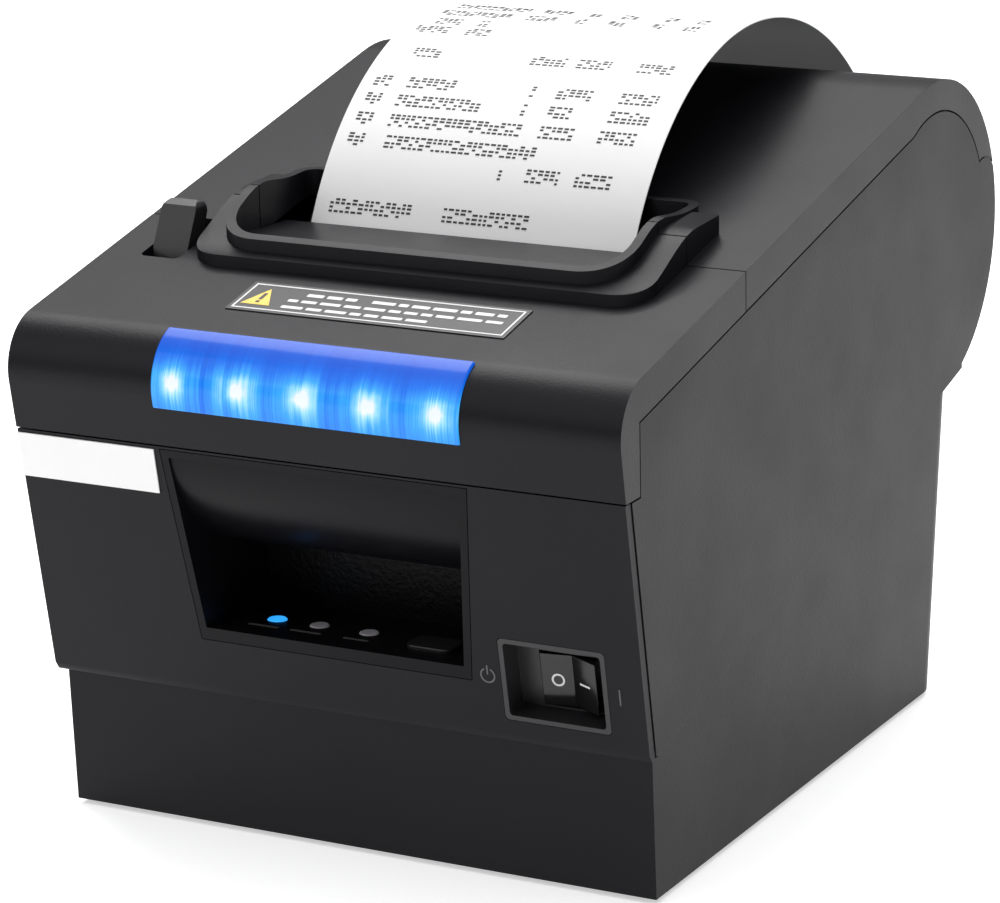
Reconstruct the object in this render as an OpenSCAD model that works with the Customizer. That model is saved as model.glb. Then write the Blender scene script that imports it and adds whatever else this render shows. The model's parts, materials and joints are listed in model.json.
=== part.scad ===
// Thermal receipt printer with a rear paper lid, a sliding front cover and an automatic cutter.
// The origin is under the middle of the printer, on the surface that it stands on.
// The front faces -Y, +X is the side with the power switch, and +Z is up.

/* [Body] */
// Width across the upper shell
body_w = 145; // [143:0.5:146]
// Width of the base case
base_w = 142.5; // [142:0.5:143]
// Wall thickness of the housings
wall = 2.2; // [2:0.1:2.4]
// Slope of the top, from the front up to the rear
top_slope = 12.6; // [12.4:0.1:12.7]
// Radius of the front top edge
front_r = 12; // [10:0.5:13]
// Radius of the round rear that holds the paper roll
rear_r = 37; // [36.8:0.1:37.2]
// Height of the rubber feet
foot_h = 1.2; // [1:0.1:1.5]

/* [Paper] */
// Width of the receipt paper
paper_w = 79.5; // [78:0.5:80]
// Outer radius of the paper roll
roll_r = 30; // [28:0.5:30.5]
// Thickness that stands for the paper
paper_t = 0.25; // [0.2:0.05:0.3]

/* [Mechanism] */
// Outer radius of the platen roller
platen_r = 7; // [6.8:0.1:7.1]
// Module of the feed gears
gear_m = 0.5; // [0.5]
// Thickness of the moving cutter blade
blade_t = 0.5; // [0.4:0.05:0.5]

/* [Hidden] */

gap = 0.35;
half_w = body_w / 2;
inner_x = half_w - wall;
base_in = base_w / 2 - wall;
black = "#2c2c30";
steel = "#a9acb0";

// Side profile, as [y, z] points
base_front = [-83, foot_h];
base_top = [-84.3, 32.15];
lip = [-87.3, 32.5];
front_top = [-101.1, 111.7];
base_rear = [71, foot_h];
seam_rear = [80, 76];
bulge = [63, 110];
hinge = [92.5, 116.5];
hinge_arc = 7.7;
split_y = -40.7;
skirt = 8.6;
band_r = rear_r - 7;
panel_top = 90;
cover_side_y = -91;
tan_front = (lip[0] - front_top[0]) / (front_top[1] - lip[1]);
front_angle = atan(tan_front);
seam_slope = (seam_rear[1] - lip[1]) / (seam_rear[0] - lip[0]);
rear_lean = atan((seam_rear[0] - base_rear[0]) / (seam_rear[1] - base_rear[1]));

function front_y(z) = lip[0] - (z - lip[1]) * tan_front;
function top_z(y) = front_top[1] + (y - front_top[0]) * tan(top_slope);
function seam_z(y) = lip[1] + (y - lip[0]) * seam_slope;
function smooth(t) = let (u = min(1, max(0, t))) u * u * (3 - 2 * u);
function polar(c, r, a) = [c[0] + r * cos(a), c[1] + r * sin(a)];
function arc(c, r, a0, a1, n) = [for (i = [0:n]) polar(c, r, a0 + (a1 - a0) * i / n)];

// Hood around the paper slot, in plan, and the height of its two steps
plateau = [-51.2, 59, -62.2, -24.3];
ridge = [-46.8, 52.4, -59.1, -16.8];
ridge_w = 2.2;
plateau_r = 8;
ridge_r = [11, 5];
hood_y = [-64, -16];
tongue_z = [124.9, 123.9];
tongue_end = -30.2;
tongue_t = 1.6;
function plateau_z(y) = 122.8 + 8.1 * smooth((y + 63) / 27) + 0.045 * (y + 63);
function ridge_z(y) = plateau_z(y) + 2.8 - 2.3 * smooth((y + 45) / 20);

// Slot for the release lever in the front cover
slot_x = [-63.4, -53.6];
slot_y = -60.8;

// Runners of the front cover and the rails that they hang on
rail_y = [-86, -24];
rail_z = [103.5, 105.3];

// Front recess and switch, with u as the distance up the front face from the lip
recess_half = [32.8, 36.7];
recess_u = [13.2, 57.5];
recess_back = -63;
recess_floor = [49.1, 46.8];
recess_t = 1.8;
sill = 1.9;
nose = [34, 27];
lamp_x = [-21.5, -11, 1.2];
lamp_y = -77;
lamp_r = 2.2;
button_c = [18.5, -79.5];
button_half = [5.5, 3.8];
switch_x = [39.6, 64.2];
switch_u = [5.2, 24.2];
switch_depth = 6;
rocker_c = [53.5, 13.0];
rocker_axis = -8.5;
rocker_half = [6.8, 5.9];
rocker_tilt = 7.5;

// Base, circuit board and screws
screw_x = 48;
screw_y = [-66, 50];
beam_z = [40, 69.3];
beam_t = 2.4;
post_x = 44;
post_y = [-54, -12];
deck_z = 71.8;
board_z = 11.9;
board_t = 1.6;
board_post = [34, [-38, 36]];
foot_pos = [60, [-73, 56]];
port_z = [9, 36];

// Paper path, as [y, z] points
platen = [-22.1, 106.5];
wrap_r = platen_r + 0.3;
roll_c = [62, 105];
core_r = [6, 8.5];
receipt_foot = [-29.65, 111.9];
bend_r = 25;
exit_angle = 61;
exit_run = 2.5;
arch_r = [71, 82];
arch_end = 50;
web_top = 110.4;
roll_wrap_r = roll_r + 0.3;
web_dir = atan2(roll_c[1] - platen[1], roll_c[0] - platen[0]);
web_down = 270 + web_dir - asin((roll_wrap_r - wrap_r) / norm(roll_c - platen));
nip = 205;

// Feed train on the left of the frame
frame_x = [49, 50.2];
train_x = -56.5;
gear_w = 3;
platen_n = 30;
idler_n = 44;
pinion_n = 14;
idler_dir = 257;
idler_c = polar(platen, gear_m * (platen_n + idler_n) / 2, idler_dir);
pinion_c = polar(idler_c, gear_m * (idler_n + pinion_n) / 2, 180);
shaft_r = 2;
fit = 0.05;
bush_r = 4;
bush_x = [45, 52.9];

// Cutter above the nip, driven by racks under the moving blade
blade_z = 111.2;
blade_y = [-78.3, -40.8];
blade_half = 41;
cut_n = 14;
rack_pitch_z = 108;
rack_x = [30, 34];
cutter_c = [-62, rack_pitch_z - cut_n / 2];
lever_c = [-56, 84];
hook_x = [51, 52.3];

// Prism along X of a [y, z] shape
module along_x(x0, x1) {
    translate([x0, 0, 0]) rotate([90, 0, 90]) linear_extrude(x1 - x0) children();
}

// Round rod along X, centred on a [y, z] point
module rod_x(c, r, x0, x1) {
    translate([x0, c[0], c[1]]) rotate([0, 90, 0]) cylinder(r = r, h = x1 - x0, $fn = 64);
}

// Local frame on the front face: X across, Y up the face, Z outwards
module on_front() {
    translate([0, lip[0], lip[1]]) rotate([90 + front_angle, 0, 0]) children();
}

// Local frame on the sloping top: X across, Y to the rear, Z outwards
module on_top() {
    translate([0, front_top[0], front_top[1]]) rotate([top_slope, 0, 0]) children();
}

module round_rect(x0, x1, y0, y1, r) {
    translate([x0 + r, y0]) square([x1 - x0 - 2 * r, y1 - y0]);
    translate([x0, y0 + r]) square([x1 - x0, y1 - y0 - 2 * r]);
    for (x = [x0 + r, x1 - r]) for (y = [y0 + r, y1 - r]) translate([x, y]) circle(r, $fn = 48);
}

// Spur gear outline with straight flanks. A tooth points along "start".
module gear_2d(n, m, start) {
    pitch = n * m / 2;
    tooth = [[-0.33, pitch - 1.25 * m], [-0.1, pitch + 0.85 * m], [0.1, pitch + 0.85 * m], [0.33,
        pitch - 1.25 * m]];
    polygon([for (i = [0:n - 1]) for (p = tooth) polar([0, 0], p[1], start + (i + p[0]) * 360 / n)]);
}

module gear_x(c, n, m, start, x0, w, bore_r) {
    difference() {
        along_x(x0, x0 + w) translate(c) gear_2d(n, m, start);
        rod_x(c, bore_r, x0 - 1, x0 + w + 1);
    }
}

// Side outline of the upper body, moved inwards by t
module outline(t = 0) {
    inside = 90 + top_slope - front_angle;
    way = [sin(front_angle) + cos(top_slope), sin(top_slope) - cos(front_angle)];
    corner = front_top + way / norm(way) * t / sin(inside / 2);
    r = front_r - t;
    reach = r / tan(inside / 2);
    p1 = corner + reach * [sin(front_angle), -cos(front_angle)];
    p2 = corner + reach * [cos(top_slope), sin(top_slope)];
    mid = p2 + r * [sin(top_slope), -cos(top_slope)];
    polygon([[front_y(20) + t, 20], p1, mid, p2, polar(bulge, rear_r - t, 90 + top_slope),
        [seam_rear[0] - t, 82], [seam_rear[0] - t, 20]]);
    translate(mid) circle(r, $fn = 96);
    translate(bulge) circle(rear_r - t, $fn = 180);
}

module above_seam() {
    polygon([[-140, seam_z(-140)], [140, seam_z(140)], [140, 220], [-140, 220]]);
}

// What lies behind the front cover and under the lid, g inside its edge
module under_covers(g) {
    side = cover_side_y + g;
    polygon([[side, panel_top - g], [side, top_z(side) - skirt - g],
        [bulge[0], top_z(bulge[0]) - skirt - g], [bulge[0], 20], [-110, 20], [-110, panel_top - g]]);
    translate(bulge) circle(band_r - g, $fn = 128);
    translate(hinge) circle(hinge_arc - g, $fn = 64);
    translate([bulge[0] - 1, 20]) square([60, hinge[1] - 20]);
}

// Upright prism with round rear corners, which leans with the rear wall
module corner_trim(w, r) {
    translate([0, base_rear[0], base_rear[1]]) rotate([-rear_lean, 0, 0]) translate([0, 0, -30])
        linear_extrude(160) {
            translate([-w / 2 + r, -230]) square([w - 2 * r, 230]);
            translate([-w / 2, -230]) square([w, 230 - r]);
            for (s = [-1, 1]) translate([s * (w / 2 - r), -r]) circle(r, $fn = 64);
        }
}

// Rounded block in plan: b is [left, right, front, rear], with front radius rf and rear radius rr
module pad_plan(b, rf, rr, e = 0) {
    x0 = b[0] + e;
    x1 = b[1] - e;
    y0 = b[2] + e;
    y1 = b[3] - e;
    p = rf - e;
    q = max(rr - e, 0.5);
    translate([x0, y0 + p]) square([x1 - x0, y1 - y0 - p - q]);
    translate([x0 + p, y0]) square([x1 - x0 - 2 * p, p + 1]);
    translate([x0 + q, y1 - q - 1]) square([x1 - x0 - 2 * q, q + 1]);
    for (x = [x0 + p, x1 - p]) translate([x, y0 + p]) circle(p, $fn = 64);
    for (x = [x0 + q, x1 - q]) translate([x, y1 - q]) circle(q, $fn = 48);
}

// Hood between two values of y: the low outer step and the high rim
module hood(y0, y1) {
    n = 32;
    ys = [for (i = [0:n]) hood_y[0] + (hood_y[1] - hood_y[0]) * i / n];
    under = [for (i = [0:n]) [ys[n - i], top_z(ys[n - i]) - wall]];
    intersection() {
        union() {
            intersection() {
                along_x(-60, 60) polygon(concat([for (y = ys) [y, plateau_z(y)]], under));
                linear_extrude(160) pad_plan(plateau, plateau_r, 0.6);
            }
            intersection() {
                along_x(-60, 60) polygon(concat([for (y = ys) [y, ridge_z(y)]], under));
                linear_extrude(160) pad_plan(ridge, ridge_r[0], ridge_r[1]);
            }
        }
        translate([-80, y0, 100]) cube([160, y1 - y0, 50]);
    }
}

// ---------------------------------------------------------------- housings

module base_case() {
    color(black) {
        difference() {
            intersection() {
                along_x(-base_w / 2, base_w / 2) polygon([base_front, base_top,
                    [base_top[0] + 2.8, base_top[1]], [base_top[0] + 2.8, seam_z(base_top[0] + 2.8) - gap],
                    [seam_rear[0], seam_z(seam_rear[0]) - gap], base_rear]);
                corner_trim(base_w, 10);
            }
            intersection() {
                along_x(-base_in, base_in) polygon([[base_front[0] + wall, foot_h + wall],
                    [base_top[0] + wall, 120], [seam_rear[0] + 9, 120], [base_rear[0], foot_h + wall]]);
                translate([0, -wall, 0]) corner_trim(base_w - 2 * wall, 10 - wall);
            }
            translate([-54, 60, port_z[0]]) cube([108, 30, port_z[1] - port_z[0]]);
            for (s = [-1, 1]) for (y = screw_y) translate([s * screw_x, y, 0]) {
                cylinder(r = 1.7, h = 12, $fn = 32);
                cylinder(r = 3.2, h = foot_h + 1.2, $fn = 40);
            }
            for (s = [-1, 1]) for (y = foot_pos[1])
                translate([s * foot_pos[0], y, 0]) cylinder(r = 6.1, h = foot_h + 0.5, $fn = 48);
        }
        // posts under the mechanism and under the circuit board
        for (s = [-1, 1]) for (y = post_y) translate([s * post_x, y, foot_h + wall - 0.1])
            cylinder(r = 3.6, h = deck_z - foot_h - wall + 0.1, $fn = 40);
        for (s = [-1, 1]) for (y = board_post[1]) translate([s * board_post[0], y, foot_h + wall - 0.1])
            cylinder(r = 2.6, h = board_z - foot_h - wall + 0.1, $fn = 32);
    }
}

module upper_shell() {
    color(black) {
        difference() {
            along_x(-half_w, half_w) intersection() {
                outline();
                above_seam();
                under_covers(gap);
                polygon([[front_y(30) + 2.6, 30], [front_y(panel_top) + 2.6, panel_top],
                    [cover_side_y + gap, panel_top], [cover_side_y + gap, 160], [140, 160], [140, 20],
                        [-80, 20]]);
            }
            along_x(-inner_x, inner_x) {
                outline(wall);
                translate([-130, 20]) square([130 + bulge[0], 200]);
                translate([0, 20]) square([seam_rear[0] - wall, 56]);
            }
            for (s = [-1, 1]) rod_x(hinge, hinge_arc + 0.4, s * 59.5 - 3.1, s * 59.5 + 3.1);
        }
        for (s = [-1, 1]) {
            // hinge bosses
            difference() {
                rod_x(hinge, 3.5, s > 0 ? 63.6 : -inner_x - 0.1, s > 0 ? inner_x + 0.1 : -63.6);
                rod_x(hinge, 1.8, s > 0 ? 60 : -69.5, s > 0 ? 69.5 : -60);
            }
            // rails for the front cover
            translate([s > 0 ? 68 : -inner_x - 0.1, rail_y[0], rail_z[0]])
                cube([inner_x + 0.1 - 68, rail_y[1] - rail_y[0], rail_z[1] - rail_z[0]]);
        }
        // beams between the side walls, with the towers for the base screws
        for (i = [0, 1]) {
            translate([-inner_x - 0.1, screw_y[i] - 3, beam_z[i]]) cube([2 * inner_x + 0.2, 6, beam_t]);
            for (s = [-1, 1]) difference() {
                translate([s * screw_x, screw_y[i], foot_h + wall + 0.2])
                    cylinder(r = 3.4, h = beam_z[i] - foot_h - wall, $fn = 40);
                translate([s * screw_x, screw_y[i], 0]) cylinder(r = 1.55, h = 16.2, $fn = 32);
            }
        }
    }
}

// Back of the front panel, as a distance out from its face
panel_back = -wall * cos(front_angle);

// Trapezium of the recess on the front face, e inside its edge
module recess_plan(e) {
    u0 = recess_u[0] + e;
    u1 = recess_u[1] - e;
    polygon([[-recess_half[0] + e, u0], [recess_half[0] - e, u0],
        [recess_half[1] - e, u1], [-recess_half[1] + e, u1]]);
}

module front_panel() {
    top = panel_top - gap;
    // clips that hold the panel between the side walls
    color(black) for (s = [-1, 1]) along_x(s > 0 ? inner_x - 2 : -inner_x, s > 0 ? inner_x : -inner_x + 2)
        polygon([[front_y(42) + wall - 0.1, 42], [front_y(42) + 8, 42], [front_y(82) + 8, 82],
            [front_y(82) + wall - 0.1, 82]]);
    color(black) difference() {
        along_x(-half_w + 0.2, half_w - 0.2) polygon([[front_y(top), top],
            [front_y(lip[1] + 1.8), lip[1] + 1.8], [lip[0] + 0.9, lip[1]], [base_top[0] - 0.8, lip[1]],
            [base_top[0] - 0.8, lip[1] + 1.6], [front_y(lip[1] + 2.4) + wall, lip[1] + 2.4],
            [front_y(top) + wall, top]]);
        on_front() translate([0, 0, -12]) linear_extrude(20) {
            recess_plan(0);
            round_rect(switch_x[0], switch_x[1], switch_u[0], switch_u[1], 1);
        }
    }
}

// Side profile of the recess. A nose curves from the top edge of the face to the back wall.
module recess_profile(t) {
    top = recess_u[1] * cos(front_angle) + lip[1];
    mid = [front_y(top) + nose[0] + 0.8, top];
    back = recess_back + t;
    polygon(concat([[-100, top], [-100, recess_floor[0] - 1.8 * t], [back, recess_floor[1] - t], [back,
        mid[1] - nose[1] + t]],
        [for (i = [0:18]) mid - [(nose[0] - t) * sin(i * 5), (nose[1] - t) * cos(i * 5)]]));
}

// The recess's trapezium as a level prism, e inside its edge and foot above its lower edge
module recess_prism(e, foot) {
    rise = cos(front_angle);
    u0 = recess_u[0] + foot;
    u1 = recess_u[1] - e;
    taper = (recess_half[1] - recess_half[0]) / (recess_u[1] - recess_u[0]);
    function half(u) = recess_half[0] - e + (u - recess_u[0]) * taper;
    translate([0, -50, lip[1]]) rotate([90, 0, 0]) linear_extrude(60)
        polygon([[-half(u0), u0 * rise], [half(u0), u0 * rise], [half(u1), u1 * rise], [-half(u1),
            u1 * rise]]);
}

module recess_bezel() {
    color(black) difference() {
        union() {
            intersection() {
                along_x(-40, 40) recess_profile(recess_t);
                recess_prism(gap / 2, gap / 2);
                on_front() translate([-60, 0, -50]) cube([120, 80, 50]);
            }
            // flange behind the panel
            intersection() {
                on_front() translate([0, 0, -3.4]) linear_extrude(panel_back + 3.4) recess_plan(-2);
                translate([-60, -130, 0]) cube([120, 100, panel_top - gap]);
            }
        }
        intersection() {
            along_x(-40, 40) recess_profile(0);
            recess_prism(sill, -4);
        }
        for (x = lamp_x) translate([x, lamp_y, 40]) cylinder(r = lamp_r, h = 12, $fn = 40);
        translate([0, 0, 40]) linear_extrude(12) round_rect(button_c[0] - button_half[0] - 0.3,
            button_c[0] + button_half[0] + 0.3, button_c[1] - button_half[1] - 0.3,
            button_c[1] + button_half[1] + 0.3, 2.2);
    }
}

module lamp(x) {
    translate([x, lamp_y, 44.2]) cylinder(r = lamp_r, h = 3.8, $fn = 40);
    translate([x, lamp_y, 40]) cylinder(r = 1, h = 4.4, $fn = 24);
}

module power_light() {
    color("#4f7bff") lamp(lamp_x[0]);
}

module status_lights() {
    color("#d8d0d4") for (i = [1, 2]) lamp(lamp_x[i]);
}

module feed_button() {
    color("#303136") {
        translate([0, 0, 44.4]) linear_extrude(4.4) round_rect(button_c[0] - button_half[0],
            button_c[0] + button_half[0], button_c[1] - button_half[1], button_c[1] + button_half[1], 2);
        translate([button_c[0], button_c[1], 43.4]) cylinder(r = 2.6, h = 1.1, $fn = 40);
    }
}

module panel_board() {
    color("#1f5a38") {
        translate([-30, -84, 38.4]) cube([60, 19, 1.6]);
        translate([button_c[0] - 3, button_c[1] - 3, 39.9]) cube([6, 6, 2.2]);
    }
}

module switch_housing() {
    cx = rocker_c[0];
    cu = rocker_c[1];
    color("#26262a") on_front() difference() {
        union() {
            translate([0, 0, -switch_depth - 1.2]) linear_extrude(switch_depth + 1.2)
                round_rect(switch_x[0] + 0.1, switch_x[1] - 0.1, switch_u[0] + 0.1, switch_u[1] - 0.1, 1);
            translate([cx - 9.1, cu - 8, -14]) cube([18.2, 16, 8]);
            translate([0, 0, -3.4]) linear_extrude(panel_back + 3.4)
                round_rect(switch_x[0] - 1.2, switch_x[1] + 1.2, switch_u[0] - 1.2, switch_u[1] + 1.2, 2);
        }
        translate([0, 0, -switch_depth]) linear_extrude(20)
            round_rect(switch_x[0] + 1.2, switch_x[1] - 1.2, switch_u[0] + 1.2, switch_u[1] - 1.2, 0.8);
        translate([cx - 7.7, cu - 6.3, -13]) cube([15.4, 12.6, 10]);
        translate([cx, cu + 7.2, rocker_axis]) rotate([90, 0, 0]) cylinder(r = 1 + fit, h = 14.4, $fn = 32);
    }
}

module switch_rocker() {
    w = rocker_half[0];
    color("#1b1b1e") on_front() translate([rocker_c[0], rocker_c[1], rocker_axis]) rotate([90,
        -rocker_tilt, 0]) {
        translate([0, 0, -rocker_half[1]]) linear_extrude(2 * rocker_half[1])
            polygon([[-w, 4.1], [0, 2.4], [w, 4.1], [4.6, -1.8], [-4.6, -1.8]]);
        translate([0, 0, -7]) cylinder(r = 1, h = 14, $fn = 32);
    }
}

module feet() {
    color("#3a3a3c") for (s = [-1, 1]) for (y = foot_pos[1])
        translate([s * foot_pos[0], y, 0]) cylinder(r = 6, h = foot_h + 0.5, $fn = 48);
}

module base_screws() {
    color(steel) for (s = [-1, 1]) for (y = screw_y) translate([s * screw_x, y,
        foot_h + 0.1]) difference() {
        union() {
            cylinder(r = 3, h = 1.1, $fn = 40);
            cylinder(r = 1.55, h = 14.5, $fn = 32);
        }
        for (a = [0, 90]) rotate(a) translate([-1.7, -0.3, -1]) cube([3.4, 0.6, 1.8]);
    }
}

// ---------------------------------------------------------------- electronics

module main_board() {
    color("#1f5a38") difference() {
        translate([-38, -42, board_z]) cube([76, 98, board_t]);
        for (s = [-1, 1]) for (y = board_post[1])
            translate([s * board_post[0], y, 0]) cylinder(r = 1.2, h = 20, $fn = 24);
    }
}

module board_parts() {
    z = board_z + board_t;
    color("#2f3034") {
        translate([-12, -12, z]) cube([14, 14, 1.5]);
        translate([12, -8, z]) cube([10, 7, 1.3]);
        translate([-24, 12, z]) cube([8, 12, 1.4]);
        translate([4, -38, z]) cube([24, 5, 6]);
        translate([-30, -38, z]) cube([20, 5, 6]);
        for (x = [6, 18]) translate([x, 24, z]) cylinder(r = 4, h = 11, $fn = 40);
    }
}

// Connectors as [left, width, height]
ports = [[-46, 11, 11.5], [-24, 12, 11], [0, 16, 13.5], [28, 13, 12.5]];

module port_plate() {
    color("#2a2a2d") difference() {
        translate([-56, 67.2, foot_h + wall]) cube([112, 1.6, 36]);
        for (p = ports) translate([p[0], 60, board_z + board_t]) cube([p[1], 12, p[2]]);
    }
}

module io_ports() {
    z = board_z + board_t;
    color("#b9bcc0") for (p = ports) translate([p[0], 0, z]) difference() {
        translate([0, 54, 0]) cube([p[1], 15.6, p[2]]);
        translate([1.2, 58, 1.2]) cube([p[1] - 2.4, 20, p[2] - 2.4]);
    }
}

module ballast_plate() {
    color("#8d9094") translate([-36, -78, foot_h + wall]) cube([72, 32, 3.5]);
}

// ---------------------------------------------------------------- paper

function ramp_z(y) = let (p = polar(platen, wrap_r + paper_t, web_down), n = web_down + 90)
    p[1] + (y - p[0]) * tan(n);

module paper_bucket() {
    r = roll_r + 1.5;
    c = roll_c;
    color("#3a3b3f") {
        difference() {
            union() {
                along_x(-42.2, 42.2) {
                    intersection() {
                        translate(c) circle(r + 1.6, $fn = 160);
                        translate([50, 60]) square([24, 40]);
                    }
                    polygon([[-3, ramp_z(-3) - 1], [52, ramp_z(52) - 1], [52, ramp_z(52) - 2.8], [-3,
                        ramp_z(-3) - 2.8]]);
                }
                for (s = [-1, 1]) translate([s * 30 - 6, screw_y[1] - 2.8, beam_z[1] + beam_t]) cube([12,
                    5.6, 3.6]);
            }
            rod_x(c, r, -60, 60);
        }
        for (s = [-1, 1]) {
            along_x(s > 0 ? 40.6 : -42.2, s > 0 ? 42.2 : -40.6)
                polygon([[30, ramp_z(30) - 2.7], [30, 100], [40, 112], [74, 112], [74, 74.3], [66, 72.2],
                    [52, ramp_z(52) - 2.7]]);
            rod_x(c, core_r[0] - 2 * fit, s > 0 ? 35 : -40.7, s > 0 ? 40.7 : -35);
        }
    }
}

module paper_roll() {
    color("#f4f4f2") difference() {
        rod_roll(roll_r);
        rod_x(roll_c, core_r[1], -60, 60);
    }
}

module rod_roll(r) {
    translate([-paper_w / 2, roll_c[0], roll_c[1]]) rotate([0, 90, 0]) cylinder(r = r, h = paper_w,
        $fn = 180);
}

module roll_core() {
    color("#b08d62") difference() {
        rod_roll(core_r[1]);
        rod_x(roll_c, core_r[0], -60, 60);
    }
}

// Line of paper from the roll, under the roller and up to the cut
module paper_web() {
    n = 14;
    function way(r, e) = concat([polar(roll_c, roll_wrap_r + e, web_down)],
        arc(platen, r, web_down, 180, n), [[platen[0] - r, web_top]]);
    outer = way(wrap_r + paper_t, paper_t);
    inner = way(wrap_r, 0);
    color("#f4f4f2") along_x(-paper_w / 2, paper_w / 2)
        polygon(concat(outer, [for (i = [len(inner) - 1:-1:0]) inner[i]]));
}

// Centre line of the receipt after the cut, moved to its left by e
function receipt_way(e) = let (
    a = receipt_foot + [bend_r, 0],
    b = polar(a, bend_r, 90 + exit_angle),
    c = b + exit_run * [cos(exit_angle), sin(exit_angle)],
    d = c + arch_r[0] * [sin(exit_angle), -cos(exit_angle)],
    f = d + [0, arch_r[0] - arch_r[1]])
    concat(arc(a, bend_r + e, 180, 90 + exit_angle, 8), arc(d, arch_r[0] + e, 90 + exit_angle, 90, 20),
        arc(f, arch_r[1] + e, 90 - 2, 90 - arch_end, 16));

module receipt() {
    inner = receipt_way(-paper_t / 2);
    color("#f6f6f4") along_x(-paper_w / 2, paper_w / 2)
        polygon(concat(receipt_way(paper_t / 2), [for (i = [len(inner) - 1:-1:0]) inner[i]]));
}

module paper_sensor() {
    y = 12;
    color("#1d1e22") difference() {
        translate([-5, y - 4, ramp_z(y) - 8]) cube([10, 8, 7.2]);
        along_x(-9, 9) polygon([[-3, ramp_z(-3) - 1.4], [52, ramp_z(52) - 1.4], [52, 140], [-3, 140]]);
        along_x(-9, 9) polygon([[-3, ramp_z(-3) - 1], [52, ramp_z(52) - 1], [52, ramp_z(52) - 2.8], [-3,
            ramp_z(-3) - 2.8]]);
    }
}

// ---------------------------------------------------------------- print mechanism

module mechanism_frame() {
    color(steel) difference() {
        union() {
            translate([-frame_x[1], -74, deck_z]) cube([2 * frame_x[1], 70, 1.5]);
            for (s = [-1, 1]) along_x(s > 0 ? frame_x[0] : -frame_x[1], s > 0 ? frame_x[1] : -frame_x[0])
                polygon([[-74, deck_z], [-81, 92], [-81, 113], [-46, 113], [-32, 110], [-13, 110], [-6,
                    96], [-4, deck_z]]);
            translate([-frame_x[0] - 0.1, -38.6, 98]) cube([2 * frame_x[0] + 0.2, 1.2, 8.5]);
        }
        along_x(-60, 60) {
            translate(platen) circle(bush_r + 0.2, $fn = 64);
            translate([platen[0] - bush_r - 0.2, platen[1]]) square([2 * bush_r + 0.4, 20]);
        }
        rod_x(lever_c, shaft_r + fit, -60, 60);
        rod_x(cutter_c, shaft_r + fit, -60, 60);
        rod_x(idler_c, shaft_r, -60, -40);
        rod_x(pinion_c, 2.6, -60, -40);
        for (s = [-1, 1]) for (y = post_y) translate([s * post_x, y, 60]) cylinder(r = 1.6, h = 20,
            $fn = 24);
    }
}

// Point in the frame of the print head: a up along its plate, b away from the roller
function head_pt(a, b) = polar(platen, wrap_r + paper_t + 0.15 + b, nip) + a * [sin(nip), -cos(nip)];
head_axis = head_pt(-12, 5);

module print_head() {
    color("#d9d3c4") along_x(-blade_half, blade_half)
        polygon([head_pt(-14, 0), head_pt(-14, 1.2), head_pt(4.5, 1.2), head_pt(4.5, 0)]);
}

module heat_sink() {
    color("#b6b9bd") difference() {
        union() {
            along_x(-blade_half, blade_half) polygon([head_pt(-15, 1.2), head_pt(-15, 4.7), head_pt(3,
                4.7), head_pt(3, 1.2)]);
            rod_x(head_axis, 3.1, -blade_half, blade_half);
        }
        rod_x(head_axis, 1.5 + fit, -60, 60);
        // cooling grooves
        for (x = [-36:4:36]) along_x(x - 1, x + 1)
            polygon([head_pt(-7, 3.2), head_pt(-7, 6), head_pt(4, 6), head_pt(4, 3.2)]);
    }
}

module head_pivot() {
    color("#c8cacc") rod_x(head_axis, 1.5, -frame_x[0], frame_x[0]);
}

module head_springs() {
    color("#cfd2d6") for (s = [-1, 1]) along_x(s > 0 ? 21.2 : -26.8, s > 0 ? 26.8 : -21.2)
        polygon([head_pt(-8.4, 4.7), head_pt(-8.4, 5.1), head_pt(-3, 5.2), head_pt(1.6, 6.7),
            head_pt(1.8, 6.3), head_pt(-3, 4.8), head_pt(-3.2, 4.7)]);
}

module feed_motor() {
    color("#8f9397") {
        difference() {
            union() {
                rod_x(pinion_c, 8.5, -47.6, -26);
                along_x(-frame_x[0], -47.5) translate(pinion_c) {
                    circle(7, $fn = 48);
                    square([5, 22], center = true);
                }
            }
            rod_x(pinion_c, 1.2 + fit, -60, -40);
        }
    }
}

// Teeth of the three feed gears mesh when the angles below are kept
function mesh_start(n1, start1, n2, d) =
    d + 180 + ((d - start1) / (360 / n1) + 0.5) * (360 / n2);
platen_start = 0;
idler_start = mesh_start(platen_n, platen_start, idler_n, idler_dir);
pinion_start = mesh_start(idler_n, idler_start, pinion_n, 180);

module motor_pinion() {
    color("#c9a24b") {
        difference() {
            along_x(train_x, train_x + gear_w) translate(pinion_c) gear_2d(pinion_n, gear_m, pinion_start);
            rod_x(pinion_c, 1.2, train_x - 1, train_x + gear_w + 1);
        }
        rod_x(pinion_c, 1.2, train_x, -41);
    }
}

module idler_gear() {
    color("#e6e3da") gear_x(idler_c, idler_n, gear_m, idler_start, train_x, gear_w, shaft_r + fit);
}

module gear_stud() {
    color(steel) {
        rod_x(idler_c, shaft_r, train_x - 0.2, -frame_x[0]);
        rod_x(idler_c, 3, train_x - 0.9, train_x - 0.1);
        rod_x(idler_c, 3, train_x + gear_w + 0.1, -frame_x[1]);
    }
}

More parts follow.
